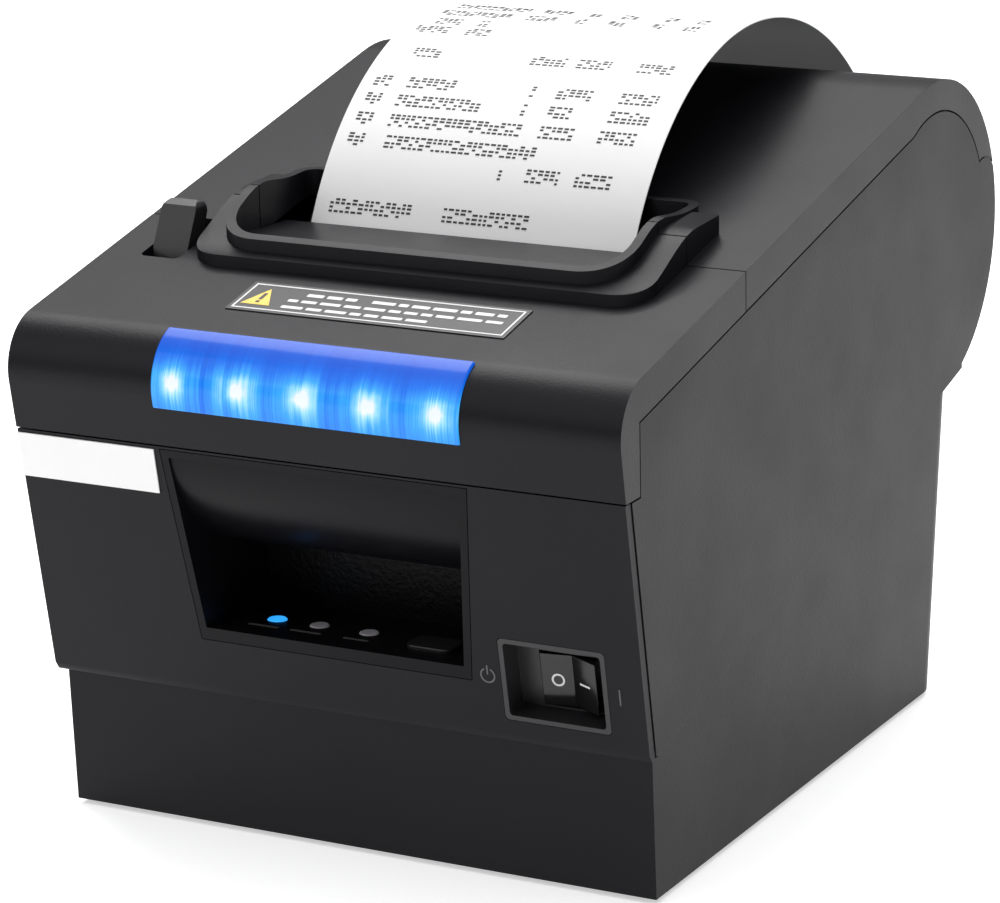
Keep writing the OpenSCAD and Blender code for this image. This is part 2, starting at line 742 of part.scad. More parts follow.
module cutter_deck() {
    top = blade_z + blade_t / 2;
    color("#9da0a4") {
        for (s = [-1, 1]) mirror([s > 0 ? 0 : 1, 0, 0]) translate([0, -36, 0]) rotate([90, 0,
            0]) linear_extrude(44.8)
            polygon([[37, top - 1.6], [frame_x[0], top - 1.6], [frame_x[0], top + 1.1], [37, top + 1.1],
                [37, top + 0.1],
                [blade_half + 0.1, top + 0.1], [blade_half + 0.1, top - blade_t - 0.1], [37,
                    top - blade_t - 0.1]]);
        translate([-frame_x[0], -80.8, 104]) cube([2 * frame_x[0], 2, 8.5]);
    }
}

module moving_blade() {
    y = blade_y;
    color("#c4c7cb") {
        translate([0, 0, blade_z - blade_t / 2]) linear_extrude(blade_t)
            polygon([[-blade_half, y[0]], [blade_half, y[0]], [blade_half, y[1]], [0, y[1] - 3],
                [-blade_half, y[1]]]);
        for (s = [-1, 1]) along_x(s > 0 ? rack_x[0] : -rack_x[1], s > 0 ? rack_x[1] : -rack_x[0]) {
            translate([y[0] + 0.4, rack_pitch_z + 1.25]) square([21, blade_z - rack_pitch_z - 1.4]);
            for (i = [-4:1]) translate([cutter_c[0] + (i + 0.5) * PI, rack_pitch_z])
                polygon([[-0.33 * PI, 1.3], [-0.1 * PI, -0.85], [0.1 * PI, -0.85], [0.33 * PI, 1.3]]);
        }
    }
}

module cutter_shaft() {
    color("#8e9196") {
        rod_x(cutter_c, shaft_r, -50.6, 55);
        for (s = [-1, 1]) gear_x(cutter_c, cut_n, 1, 90, s > 0 ? rack_x[0] : -rack_x[1],
            rack_x[1] - rack_x[0], shaft_r);
    }
}

module reset_wheel() {
    color("#e3e0d6") difference() {
        along_x(51.2, 54.2) translate(cutter_c) {
            circle(8.4, $fn = 64);
            for (i = [0:23]) rotate(i * 15) translate([8.1, -0.55]) square([0.9, 1.1]);
        }
        rod_x(cutter_c, shaft_r, 40, 60);
    }
}

module cutter_motor() {
    color("#85898e") difference() {
        union() {
            rod_x(cutter_c, 7.4, -22, 22);
            translate([-18, -68, deck_z + 1.5]) cube([36, 7.5, 26]);
        }
        rod_x(cutter_c, shaft_r + fit, -60, 60);
    }
}

// ---------------------------------------------------------------- latch

module lever_shaft() {
    color(steel) rod_x(lever_c, shaft_r, -62.5, 52.8);
}

module release_lever() {
    c = lever_c;
    color("#2b2c31") difference() {
        union() {
            along_x(-62.9, -57.3) {
                translate(c) circle(4.6, $fn = 48);
                polygon([[c[0] - 3.4, c[1]], [-57.2, 112], [-56.4, 118.5], [-50.4, 118.5], [-52, 110],
                    [c[0] + 4, c[1]]]);
            }
            intersection() {
                along_x(-62.9, -54) polygon([[-56.4, 117], [-55.9, 121.6], [-51.6, 130.3], [-49.8, 131.4],
                    [-47.6, 130.6],
                    [-47.2, 128.6], [-50.4, 121], [-50.4, 117]]);
                translate([0, -40, 0]) rotate([90, 0, 0]) linear_extrude(30)
                    round_rect(-62.9, -54, 110, 131.6, 2.4);
            }
        }
        rod_x(c, shaft_r, -64, -50);
    }
}

module latch_hooks() {
    c = lever_c;
    p = platen;
    color("#9a9da2") for (s = [-1, 1]) difference() {
        along_x(s > 0 ? hook_x[0] : -hook_x[1], s > 0 ? hook_x[1] : -hook_x[0]) {
            translate(c) circle(4, $fn = 48);
            polygon([[c[0], c[1] - 4], [c[0] + 12, c[1] + 4], [p[0] - 7, p[1] - 3], [p[0] - 5, p[1] + 3.6],
                [p[0] - 1.2, p[1] + 4.3], [p[0] - 1.2, p[1] + 6.2], [p[0] - 7, p[1] + 6.6], [p[0] - 12.5,
                    p[1] - 1.4],
                [c[0] + 6, c[1] + 7], [c[0] - 2, c[1] + 3.4]]);
        }
        rod_x(c, shaft_r, -64, 64);
    }
}

module hinge_pins() {
    color("#c8cacc") for (s = [-1, 1]) rod_x(hinge, 1.8, s > 0 ? 57.2 : -69.4, s > 0 ? 69.4 : -57.2);
}

// ---------------------------------------------------------------- front cover

module light_clip() {
    mid = [-87.3, 102.5];
    polygon([mid, polar(mid, 40, 111), [-140, 140], [-140, 98.7 - 7], [-100, 98.7], mid + [0, -6]]);
}

light_half = 36.3;

module front_cover() {
    color(black) {
        difference() {
            union() {
                along_x(-half_w, half_w) difference() {
                    intersection() {
                        outline();
                        translate([-130, panel_top]) square([130 + split_y - gap / 2, 60]);
                    }
                    under_covers(0);
                }
                hood(-70, split_y - gap / 2);
            }
            along_x(-inner_x, inner_x) outline(wall);
            along_x(-light_half, light_half) intersection() {
                light_clip();
                outline(-3);
            }
            translate([0, 0, 100]) linear_extrude(60) {
                intersection() {
                    pad_plan(ridge, ridge_r[0], ridge_r[1], ridge_w);
                    translate([-60, -70]) square([120, 70 + split_y]);
                }
                round_rect(slot_x[0], slot_x[1], slot_y, 0, 1.5);
            }
        }
        // tongue that closes the inside of the hood up to the paper
        intersection() {
            along_x(-46, 52) polygon([[-58, tongue_z[0]], [tongue_end, tongue_z[1]],
                [tongue_end, tongue_z[1] - tongue_t], [-58, tongue_z[0] - tongue_t]]);
            linear_extrude(160) {
                intersection() {
                    pad_plan(ridge, ridge_r[0], ridge_r[1], ridge_w - 0.2);
                    translate([-60, -70]) square([120, 70 + split_y - gap / 2]);
                }
                translate([ridge[0] + ridge_w + 0.4, -45]) square([ridge[1] - ridge[0] - 2 * ridge_w -
                    0.8, 45 + tongue_end]);
            }
        }
        // runners
        for (s = [-1, 1]) {
            translate([s > 0 ? 65.6 : -67.4, rail_y[0] + 2, 101.5]) cube([1.8, rail_y[1] - rail_y[0] - 2,
                5]);
            translate([s > 0 ? 67.3 : -69.9, rail_y[0] + 2, 101.5]) cube([2.6, rail_y[1] - rail_y[0] - 2,
                1.7]);
            along_x(s > 0 ? 65.6 : -67.4, s > 0 ? 67.4 : -65.6)
                polygon([[-84, 103], [-84, top_z(-84) - 1], [-46, top_z(-46) - 1], [-46, 103]]);
        }
        // bosses for the light board
        for (s = [-1, 1]) on_front() translate([s * 39.6, 71, -6.7]) cylinder(r = 1.9, h = 5, $fn = 32);
    }
}

module light_bar() {
    color([0.2, 0.28, 0.85, 0.85]) along_x(-light_half + 0.05, light_half - 0.05) intersection() {
        light_clip();
        difference() {
            outline(-0.65);
            outline(2.4);
        }
    }
}

module led_board() {
    color("#e8e8e4") on_front() translate([-42, 66.6, -7.9]) cube([84, 9, 1.2]);
}

module led_chips() {
    color("#e9f3ff") on_front() for (i = [-2:2]) translate([i * 15.6 - 1.7, 71.4, -6.7]) cube([3.4, 3,
        1.1]);
}

module badge_plate() {
    color("#f2f2f0") on_front() translate([-72.2, 47.1, 0]) cube([34.3, 10.2, 0.35]);
}

module notice_label() {
    color("#e9e6dc") on_top() translate([-29.4, 21, 0]) cube([66.3, 13.3, 0.2]);
}

// ---------------------------------------------------------------- rear lid

bracket_z = 115.8;
bracket_posts = [36, [-6, 10]];

module rear_lid() {
    color(black) {
        difference() {
            union() {
                along_x(-half_w, half_w) difference() {
                    intersection() {
                        outline();
                        translate([split_y + gap / 2, 60]) square([200, 120]);
                    }
                    under_covers(0);
                }
                hood(split_y + gap / 2, 0);
            }
            along_x(-inner_x, inner_x) outline(wall);
            translate([0, 0, 100]) linear_extrude(60) intersection() {
                pad_plan(ridge, ridge_r[0], ridge_r[1], ridge_w);
                translate([-60, split_y - 1]) square([120, 60]);
            }
        }
        // posts for the platen bracket
        for (s = [-1, 1]) for (y = bracket_posts[1]) difference() {
            translate([s * bracket_posts[0], y, bracket_z + 1.2])
                cylinder(r = 3, h = top_z(y) - wall - bracket_z, $fn = 40);
            translate([s * bracket_posts[0], y, bracket_z]) cylinder(r = 1.2, h = 8, $fn = 24);
        }
        // hinge arms
        for (s = [-1, 1]) difference() {
            union() {
                rod_x(hinge, 3.9, s > 0 ? 57.4 : -62, s > 0 ? 62 : -57.4);
                along_x(s > 0 ? 57.4 : -62, s > 0 ? 62 : -57.4) polygon([hinge + [-3.8, 0], hinge + [-15,
                    11],
                    hinge + [-24, 28.8], hinge + [-9, 22.6], hinge + [-6.6, 16.4], hinge + [-2.4, 8.4],
                        hinge + [0, 3.6]]);
            }
            rod_x(hinge, 1.8 + fit, -80, 80);
        }
    }
}

module lid_guide() {
    skin = wall + 0.34;
    color("#1c1c1f") along_x(-43, 43) polygon([[-26.2, bracket_z + 1.2], [-19, top_z(-19) - skin],
        [-15, top_z(-15) - skin], [-12, bracket_z + 1.2]]);
}

module platen_bracket() {
    x = 45;
    color("#a3a6ab") difference() {
        union() {
            translate([-x, -26.4, bracket_z]) cube([2 * x, 41.4, 1.2]);
            for (s = [-1, 1]) along_x(s > 0 ? x - 1.5 : -x, s > 0 ? x : -x + 1.5)
                polygon([[-26.4, bracket_z + 1.2], [15, bracket_z + 1.2], [15, 112], [-15, 102], [-26.4,
                    102]]);
        }
        rod_x(platen, shaft_r + 0.5, -60, 60);
        for (s = [-1, 1]) for (y = bracket_posts[1])
            translate([s * bracket_posts[0], y, 100]) cylinder(r = 1.3, h = 30, $fn = 24);
    }
}

module bracket_screws() {
    color(steel) for (s = [-1, 1]) for (y = bracket_posts[1]) translate([s * bracket_posts[0], y,
        bracket_z - 1.4]) {
        cylinder(r = 2.4, h = 1.4, $fn = 32);
        cylinder(r = 1.2, h = 8.5, $fn = 24);
    }
}

module fixed_blade() {
    color("#c4c7cb") along_x(-blade_half, blade_half) polygon([[-29.2, 111.6], [-27.6, 111.6], [-26.4,
        114.3],
        [-14, 114.3], [-14, bracket_z], [-27.6, bracket_z], [-28.3, 112.7], [-29.2, 112.7]]);
}

module platen_bushes() {
    color("#d8d5cb") for (s = [-1, 1]) difference() {
        rod_x(platen, bush_r, s > 0 ? bush_x[0] : -bush_x[1], s > 0 ? bush_x[1] : -bush_x[0]);
        rod_x(platen, shaft_r + fit, -60, 60);
    }
}

module platen_rubber() {
    color("#3c3c3e") difference() {
        rod_x(platen, platen_r, -41.5, 41.5);
        rod_x(platen, shaft_r, -60, 60);
    }
}

module platen_shaft() {
    color(steel) rod_x(platen, shaft_r, train_x - 0.4, bush_x[1] + 0.3);
}

module platen_gear() {
    color("#e6e3da") gear_x(platen, platen_n, gear_m, platen_start, train_x, gear_w, shaft_r);
}

base_case();
upper_shell();
front_panel();
recess_bezel();
power_light();
status_lights();
feed_button();
panel_board();
switch_housing();
switch_rocker();
feet();
base_screws();
main_board();
board_parts();
port_plate();
io_ports();
ballast_plate();
paper_bucket();
paper_roll();
roll_core();
paper_web();
mechanism_frame();
print_head();
heat_sink();
head_pivot();
head_springs();
feed_motor();
motor_pinion();
idler_gear();
gear_stud();
cutter_deck();
moving_blade();
cutter_shaft();
reset_wheel();
cutter_motor();
release_lever();
latch_hooks();
lever_shaft();
hinge_pins();
paper_sensor();
badge_plate();
front_cover();
light_bar();
led_board();
led_chips();
notice_label();
rear_lid();
lid_guide();
platen_bracket();
bracket_screws();
fixed_blade();
platen_bushes();
receipt();
platen_rubber();
platen_shaft();
platen_gear();
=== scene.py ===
"""Looks of the receipt printer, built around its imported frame. Lengths in MM are turned into metres."""
import json
import math
import random

import bmesh
import bpy
from mathutils import Matrix, Vector


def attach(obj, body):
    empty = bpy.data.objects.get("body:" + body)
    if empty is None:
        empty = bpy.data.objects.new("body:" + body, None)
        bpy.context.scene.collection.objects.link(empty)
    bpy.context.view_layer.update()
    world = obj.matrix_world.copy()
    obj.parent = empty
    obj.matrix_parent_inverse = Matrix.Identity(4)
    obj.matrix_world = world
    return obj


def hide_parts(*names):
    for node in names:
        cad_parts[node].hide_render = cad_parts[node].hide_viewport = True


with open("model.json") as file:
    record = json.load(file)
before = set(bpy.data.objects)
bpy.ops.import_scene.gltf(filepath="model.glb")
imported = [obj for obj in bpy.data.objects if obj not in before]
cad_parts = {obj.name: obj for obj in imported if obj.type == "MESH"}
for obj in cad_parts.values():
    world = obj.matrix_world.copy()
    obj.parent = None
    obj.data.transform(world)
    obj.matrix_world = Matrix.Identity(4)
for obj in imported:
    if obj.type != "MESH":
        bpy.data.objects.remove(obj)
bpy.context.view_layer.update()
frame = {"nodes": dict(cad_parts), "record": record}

MM = 0.001
scene = bpy.context.scene
BODY_OF = {n: b for b, ns in frame["record"]["behaviour"]["bodies"].items() for n in ns}

# The camera: turn about Z, tilt down and roll, in degrees
CAMERA_AT = Vector((0.41689, -0.78711, 0.31665))
CAMERA_TURN, CAMERA_TILT, CAMERA_ROLL = 28.36, 15.60, -1.19
LENS = 146.84

# Sizes that repeat the CAD, in mm, as (y, z) where there are two
LIP = (-87.3, 32.5)
FACE_ANGLE = math.atan((101.1 - 87.3) / (111.7 - 32.5))
TOP_EDGE = (-101.1, 111.7)
TOP_ANGLE = math.radians(12.6)
LED_PITCH = 15.6
LED_Z = 104.4
PAPER_HALF = 39.75
PAPER_T = 0.25
ROCKER_AT = (53.5, 13.0, -8.5)
ROCKER_EDGE = (6.8, 1.7)
ROCKER_DIP = 2.4
ROCKER_TILT = 7.5
RECESS_BACK = -66

# How a hard edge is found and a flat face made whole, in degrees, and when two points are one, in metres
FLAT_ANGLE, EDGE_ANGLE, SHEET_EDGE_ANGLE = 0.4, 28, 40
SAME_POINT = 2e-6


# ------------------------------------------------------------------ materials

class Look:
    """A node material with short calls for the usual nodes."""

    def __init__(self, name, color, rough, metal=0.0, specular=0.5):
        self.material = bpy.data.materials.new(name)
        self.material.use_nodes = True
        self.tree = self.material.node_tree
        self.shader = self.tree.nodes["Principled BSDF"]
        self.shader.inputs["Base Color"].default_value = (*color, 1)
        self.shader.inputs["Roughness"].default_value = rough
        self.shader.inputs["Metallic"].default_value = metal
        self.shader.inputs["Specular IOR Level"].default_value = specular
        self.color = color
        self.rough = rough
        self.material.diffuse_color = (*color, 1)

    def node(self, kind, **values):
        n = self.tree.nodes.new(kind)
        for key, value in values.items():
            if hasattr(n, key):
                setattr(n, key, value)
            else:
                n.inputs[key.replace("_", " ")].default_value = value
        return n

    def link(self, a, b):
        self.tree.links.new(a, b)

    def coords(self, stretch=(1, 1, 1)):
        at = self.node("ShaderNodeTexCoord").outputs["Object"]
        if stretch == (1, 1, 1):
            return at
        mapping = self.node("ShaderNodeMapping")
        mapping.inputs["Scale"].default_value = stretch
        self.link(at, mapping.inputs["Vector"])
        return mapping.outputs["Vector"]

    def noise(self, scale, detail=2.0, roughness=0.5, stretch=(1, 1, 1)):
        n = self.node("ShaderNodeTexNoise", Scale=scale, Detail=detail, Roughness=roughness)
        self.link(self.coords(stretch), n.inputs["Vector"])
        return n.outputs["Fac"]

    def ramp(self, value, stops):
        r = self.node("ShaderNodeValToRGB")
        while len(r.color_ramp.elements) < len(stops):
            r.color_ramp.elements.new(0.5)
        for e, (at, color) in zip(r.color_ramp.elements, stops):
            e.position = at
            e.color = (*color, 1)
        self.link(value, r.inputs["Fac"])
        return r.outputs["Color"]

    def span(self, value, low, high, start=0.3, end=0.7):
        r = self.node("ShaderNodeMapRange")
        for key, v in zip(("From Min", "From Max", "To Min", "To Max"), (start, end, low, high)):
            r.inputs[key].default_value = v
        self.link(value, r.inputs["Value"])
        return r.outputs["Result"]

    def maths(self, kind, a, b=None):
        n = self.node("ShaderNodeMath", operation=kind)
        for i, v in enumerate((a, b)):
            if v is None:
                continue
            if isinstance(v, (int, float)):
                n.inputs[i].default_value = v
            else:
                self.link(v, n.inputs[i])
        return n.outputs["Value"]

    def vary(self, scale, amount, stretch=(1, 1, 1)):
        """Slow changes of colour, amount either way."""
        low = tuple(c * (1 - amount) for c in self.color)
        high = tuple(min(1, c * (1 + amount)) for c in self.color)
        fac = self.noise(scale, 3, 0.6, stretch)
        self.link(self.ramp(fac, [(0.3, low), (0.7, high)]), self.shader.inputs["Base Color"])
        return self

    def gloss_vary(self, scale, amount, stretch=(1, 1, 1)):
        """Slow changes of roughness, amount either way."""
        fac = self.noise(scale, 3, 0.6, stretch)
        self.link(self.span(fac, self.rough - amount, self.rough + amount), self.shader.inputs["Roughness"])
        return self

    def grain(self, scale, depth, detail=2.0, stretch=(1, 1, 1), behind=None):
        """A fine surface texture of the given depth in metres, only behind the given y if there is one."""
        height = self.noise(scale, detail, 0.55, stretch)
        if behind is not None:
            at = self.node("ShaderNodeSeparateXYZ")
            self.link(self.coords(), at.inputs["Vector"])
            height = self.maths("MULTIPLY", height, self.maths("GREATER_THAN", at.outputs["Y"], behind))
        bump = self.node("ShaderNodeBump")
        bump.inputs["Strength"].default_value = 1.0
        bump.inputs["Distance"].default_value = depth
        self.link(height, bump.inputs["Height"])
        self.link(bump.outputs["Normal"], self.shader.inputs["Normal"])
        return self


def shell_plastic(name, color, rough):
    look = Look(name, color, rough, specular=0.16)
    return look.vary(16, 0.10).gloss_vary(40, 0.03).grain(1900, 0.00004, 3)


def metal(name, color, rough, stretch):
    look = Look(name, color, rough, 1.0).vary(90, 0.08, stretch)
    return look.gloss_vary(240, 0.06, stretch).grain(500, 0.00001, 2, stretch)


def plain_plastic(name, color, rough, depth=0.00002):
    return Look(name, color, rough).vary(60, 0.06).gloss_vary(80, 0.04).grain(1500, depth, 2)


def light_bar_look():
    """Blue lens, lit from behind by the lamps: a glow round each lamp, in upright stripes."""
    look = Look("blue_lens", (0.002, 0.02, 0.16), 0.2, specular=0.2)
    at = look.node("ShaderNodeSeparateXYZ")
    look.link(look.coords(), at.inputs["Vector"])
    x = look.maths("MULTIPLY", at.outputs["X"], 1 / MM)
    z = look.maths("MULTIPLY", at.outputs["Z"], 1 / MM)
    cell = look.maths("FRACT", look.maths("ADD", look.maths("DIVIDE", x, LED_PITCH), 10.5))
    dx = look.maths("MULTIPLY", look.maths("SUBTRACT", cell, 0.5), LED_PITCH)
    dz = look.maths("SUBTRACT", z, LED_Z)
    wobble = look.maths("MULTIPLY", look.maths("SUBTRACT", look.noise(420, 2), 0.5), 1.4)
    dx = look.maths("ADD", dx, wobble)
    squashed = look.maths("MULTIPLY", dz, look.maths("MULTIPLY", dz, 0.9))
    r2 = look.maths("ADD", look.maths("MULTIPLY", dx, dx), squashed)
    core = look.maths("DIVIDE", 3.4, look.maths("ADD", r2, 3.4))
    halo = look.maths("DIVIDE", 34, look.maths("ADD", r2, 34))
    stripes = look.noise(1, 3, 0.7, (900, 5, 5))
    body = look.maths("MULTIPLY", halo, look.span(stripes, 0.55, 1.25, 0.35, 0.65))
    low = look.span(z, 1.0, 0.25, 106.5, 111.5)
    glow = look.maths("ADD", look.maths("MULTIPLY", look.maths("POWER", core, 1.5), 0.72),
                      look.maths("MULTIPLY", look.maths("MULTIPLY", body, low), 0.42))
    glow = look.maths("ADD", glow, look.maths("MULTIPLY", look.span(stripes, 0.1, 0.2, 0.3, 0.7), low))
    color = look.ramp(glow, [
        (0.0, (0.0, 0.055, 0.50)), (0.2, (0.004, 0.17, 0.78)), (0.42, (0.05, 0.44, 0.92)),
        (0.64, (0.36, 0.82, 1.0)), (0.9, (0.95, 1.0, 1.0))])
    look.link(color, look.shader.inputs["Emission Color"])
    look.shader.inputs["Emission Strength"].default_value = 0.95
    look.shader.inputs["Coat Weight"].default_value = 0.12
    look.shader.inputs["Coat Roughness"].default_value = 0.08
    return look


def lens_look(name, color, strength):
    look = Look(name, color, 0.22, specular=0.6).vary(300, 0.08).grain(900, 0.00001)
    look.link(look.ramp(look.noise(500, 2), [(0.3, tuple(c * 0.85 for c in color)), (0.7, color)]),
              look.shader.inputs["Emission Color"])
    look.shader.inputs["Emission Strength"].default_value = strength
    return look


LOOKS = {
    "housing": shell_plastic("housing_plastic", (0.0052, 0.0050, 0.0068), 0.42),
    "lid": shell_plastic("lid_plastic", (0.0060, 0.0058, 0.0078), 0.36),
    "recess": Look("recess_plastic", (0.0036, 0.0035, 0.0048), 0.36, specular=0.12).vary(20, 0.1).grain(
        900, 0.00022, 3, behind=RECESS_BACK * MM),
    "satin": plain_plastic("satin_plastic", (0.012, 0.0122, 0.0138), 0.36),
    "gloss": Look("gloss_plastic", (0.006, 0.006, 0.0068), 0.14).vary(60, 0.1).gloss_vary(60, 0.03).grain(
        500, 0.000004),
    "inside": plain_plastic("inside_plastic", (0.011, 0.011, 0.012), 0.5, 0.00004),
    "bucket": plain_plastic("bucket_plastic", (0.02, 0.021, 0.024), 0.48, 0.00004),
    "light_bar": light_bar_look(),
    "lit_lens": lens_look("lit_lens", (0.03, 0.36, 0.95), 1.1),
    "chip_lens": lens_look("chip_lens", (0.6, 0.85, 1.0), 2.0),
    "pale_lens": Look("pale_lens", (0.50, 0.48, 0.52), 0.3).vary(500, 0.12).grain(900, 0.00001),
    "board": Look("circuit_board", (0.006, 0.055, 0.02), 0.32).vary(420, 0.35).grain(700, 0.00003),
    "zinc": metal("zinc_plate", (0.50, 0.51, 0.52), 0.38, (1, 9, 9)),
    "ground": metal("ground_steel", (0.62, 0.63, 0.64), 0.24, (1, 14, 14)),
    "rolled": metal("rolled_steel", (0.30, 0.31, 0.32), 0.5, (3, 1, 3)),
    "aluminium": metal("drawn_aluminium", (0.66, 0.67, 0.68), 0.33, (1, 8, 8)),
    "brass": metal("turned_brass", (0.68, 0.47, 0.17), 0.3, (12, 2, 2)),
    "ceramic": Look("ceramic", (0.64, 0.60, 0.50), 0.25).vary(120, 0.05).grain(600, 0.00001),
    "gear": plain_plastic("gear_plastic", (0.62, 0.59, 0.50), 0.42),
    "rubber": Look("rubber", (0.011, 0.011, 0.0115), 0.72, specular=0.3).vary(90, 0.15).grain(
        1300, 0.00006, 4),
    "paper": Look("thermal_paper", (0.86, 0.86, 0.855), 0.55, specular=0.3).vary(30, 0.012).grain(
        2600, 0.000012, 4),
    # The receipt's back: white paper painted dark grey, as painted shade for the shade under the paper's
    # arch
    "paper_back_painted_shade": Look("paper_back_painted_shade", (0.030, 0.030, 0.032), 0.5, specular=0.35).vary(30, 0.08).grain(
        2600, 0.000012, 4),
    "ink": Look("thermal_ink", (0.035, 0.035, 0.04), 0.5, specular=0.3).vary(900, 0.4).grain(2600, 0.00001),
    "card": Look("brown_card", (0.30, 0.18, 0.09), 0.75).vary(200, 0.2, (1, 4, 4)).grain(900, 0.00005, 4),
    "label": Look("label_film", (0.0075, 0.0075, 0.0085), 0.3).vary(80, 0.08).grain(1800, 0.000008),
    "print_white": Look("white_print", (0.74, 0.74, 0.73), 0.45).vary(700, 0.06).grain(1800, 0.00001),
    "print_grey": Look("grey_print", (0.085, 0.086, 0.09), 0.5).vary(700, 0.1).grain(1800, 0.00001),
    "print_yellow": Look("yellow_print", (0.84, 0.58, 0.07), 0.4).vary(700, 0.05).grain(1800, 0.00001),
    "badge": Look("badge_film", (0.80, 0.80, 0.795), 0.32).vary(60, 0.015).grain(1600, 0.000008),
    "component": plain_plastic("component_plastic", (0.018, 0.018, 0.019), 0.45),
}

# What each CAD node looks like: a look, and the width of its rounded edges in mm (0 keeps the CAD mesh)
NODE_LOOKS = {
    "base_case": ("housing", 0.55), "upper_shell": ("housing", 0.7), "front_panel": ("housing", 0.45),
    "front_cover": ("lid", 0.5), "rear_lid": ("lid", 0.5), "lid_guide": ("inside", 0.3),
    "recess_bezel": ("recess", 0.35), "switch_housing": ("satin", 0.4), "switch_rocker": ("gloss", 0.35),
    "release_lever": ("satin", 0.7), "feed_button": ("satin", 0.4), "power_light": ("lit_lens", 0.5),
    "status_lights": ("pale_lens", 0.5), "light_bar": ("light_bar", 0.3), "led_chips": ("chip_lens", 0),
    "panel_board": ("board", 0), "main_board": ("board", 0), "led_board": ("ceramic", 0),
    "board_parts": ("component", 0.2), "port_plate": ("component", 0.2), "io_ports": ("zinc", 0.25),
    "ballast_plate": ("rolled", 0.4), "mechanism_frame": ("zinc", 0.2), "platen_bracket": ("zinc", 0.2),
    "latch_hooks": ("zinc", 0.2), "gear_stud": ("zinc", 0.15), "cutter_deck": ("zinc", 0.15),
    "feed_motor": ("zinc", 0.4), "cutter_motor": ("zinc", 0.4), "base_screws": ("ground", 0.15),
    "bracket_screws": ("ground", 0.2), "head_pivot": ("ground", 0.2), "lever_shaft": ("ground", 0.2),
    "hinge_pins": ("ground", 0.2), "platen_shaft": ("ground", 0.2), "moving_blade": ("ground", 0),
    "fixed_blade": ("ground", 0.12), "head_springs": ("ground", 0), "cutter_shaft": ("ground", 0),
    "heat_sink": ("aluminium", 0.15), "print_head": ("ceramic", 0.15), "motor_pinion": ("brass", 0),
    "idler_gear": ("gear", 0), "platen_gear": ("gear", 0), "reset_wheel": ("gear", 0.15),
    "platen_bushes": ("gear", 0.25), "feet": ("rubber", 0.3), "platen_rubber": ("rubber", 0.3),
    "paper_roll": ("paper", 0.15), "paper_web": ("paper", 0), "roll_core": ("card", 0.15),
    "paper_bucket": ("bucket", 0.4), "paper_sensor": ("component", 0.2), "badge_plate": ("badge", 0.12),
    "notice_label": ("label", 0),
}


# ------------------------------------------------------------------ pieces

def add(name, mesh, look, body, *nodes):
    """A new piece that rides on a body and stands for the given CAD nodes."""
    piece = bpy.data.objects.new(name, mesh)
    scene.collection.objects.link(piece)
    if not mesh.materials:
        mesh.materials.append(LOOKS[look].material)
    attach(piece, body)
    if nodes:
        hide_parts(*nodes)
    return piece


def crisp(node, look, width):
    """A CAD node with its flat faces made whole and its hard edges rounded to catch the light."""
    mesh = frame["nodes"][node].data.copy()
    mesh.materials.clear()
    if "custom_normal" in mesh.attributes:
        mesh.attributes.remove(mesh.attributes["custom_normal"])
    bm = bmesh.new()
    bm.from_mesh(mesh)
    bmesh.ops.remove_doubles(bm, verts=bm.verts, dist=SAME_POINT)
    bmesh.ops.dissolve_limit(bm, angle_limit=math.radians(FLAT_ANGLE), verts=bm.verts, edges=bm.edges)
    bm.to_mesh(mesh)
    bm.free()
    mesh.shade_smooth()
    piece = add(node + "_skin", mesh, look, BODY_OF[node], node)
    bevel = piece.modifiers.new("rounded_edges", "BEVEL")
    bevel.limit_method = "ANGLE"
    bevel.angle_limit = math.radians(EDGE_ANGLE)
    bevel.width = width * MM
    bevel.segments = 3
    bevel.use_clamp_overlap = True
    even = piece.modifiers.new("even_shading", "WEIGHTED_NORMAL")
    even.keep_sharp = True
    even.weight = 100
    return piece


def mesh_from(name, verts, faces):
    mesh = bpy.data.meshes.new(name)
    mesh.from_pydata([Vector(v) * MM for v in verts], [], faces)
    mesh.update()
    return mesh


def on_face(x, u, out):
    """A point on the front face: x across, u up the face from the lip, out from it."""
    s, c = math.sin(FACE_ANGLE), math.cos(FACE_ANGLE)
    return (x, LIP[0] - u * s - out * c, LIP[1] + u * c - out * s)


def on_top(x, v, out):
    """A point on the sloping top: x across, v to the rear from the front edge, out from it."""
    s, c = math.sin(TOP_ANGLE), math.cos(TOP_ANGLE)
    return (x, TOP_EDGE[0] + v * c - out * s, TOP_EDGE[1] + v * s + out * c)


def flat_shape(outlines, place, out, thick=0.06):
    """Thin raised prints: each outline is a list of (a, b) points, anticlockwise seen from outside."""
    verts, faces = [], []
    for points in outlines:
        n, k = len(points), len(verts)
        verts += [place(a, b, out) for a, b in points] + [place(a, b, out + thick) for a, b in points]
        faces.append([k + n + i for i in range(n)])
        faces += [[k + i, k + (i + 1) % n, k + n + (i + 1) % n, k + n + i] for i in range(n)]
    return verts, faces


def bar(x0, x1, y0, y1, r=0.0):
    """A rectangle with rounded corners, as points."""
    if r <= 0:
        return [(x0, y0), (x1, y0), (x1, y1), (x0, y1)]
    points = []
    corners = ((x1 - r, y0 + r, -90), (x1 - r, y1 - r, 0), (x0 + r, y1 - r, 90), (x0 + r, y0 + r, 180))
    for cx, cy, start in corners:
        angles = [math.radians(start + i * 22.5) for i in range(5)]
        points += [(cx + r * math.cos(a), cy + r * math.sin(a)) for a in angles]
    return points


def ring(cx, cy, r, w, start=0, sweep=360, n=40):
    """A ring or arc, as short quads."""
    quads = []
    for i in range(n):
        a, b = (math.radians(start + sweep * (i + d) / n) for d in (0, 1))
        corners = ((r - w, a), (r, a), (r, b), (r - w, b))
        quads.append([(cx + d * math.cos(t), cy + d * math.sin(t)) for d, t in corners])
    return quads


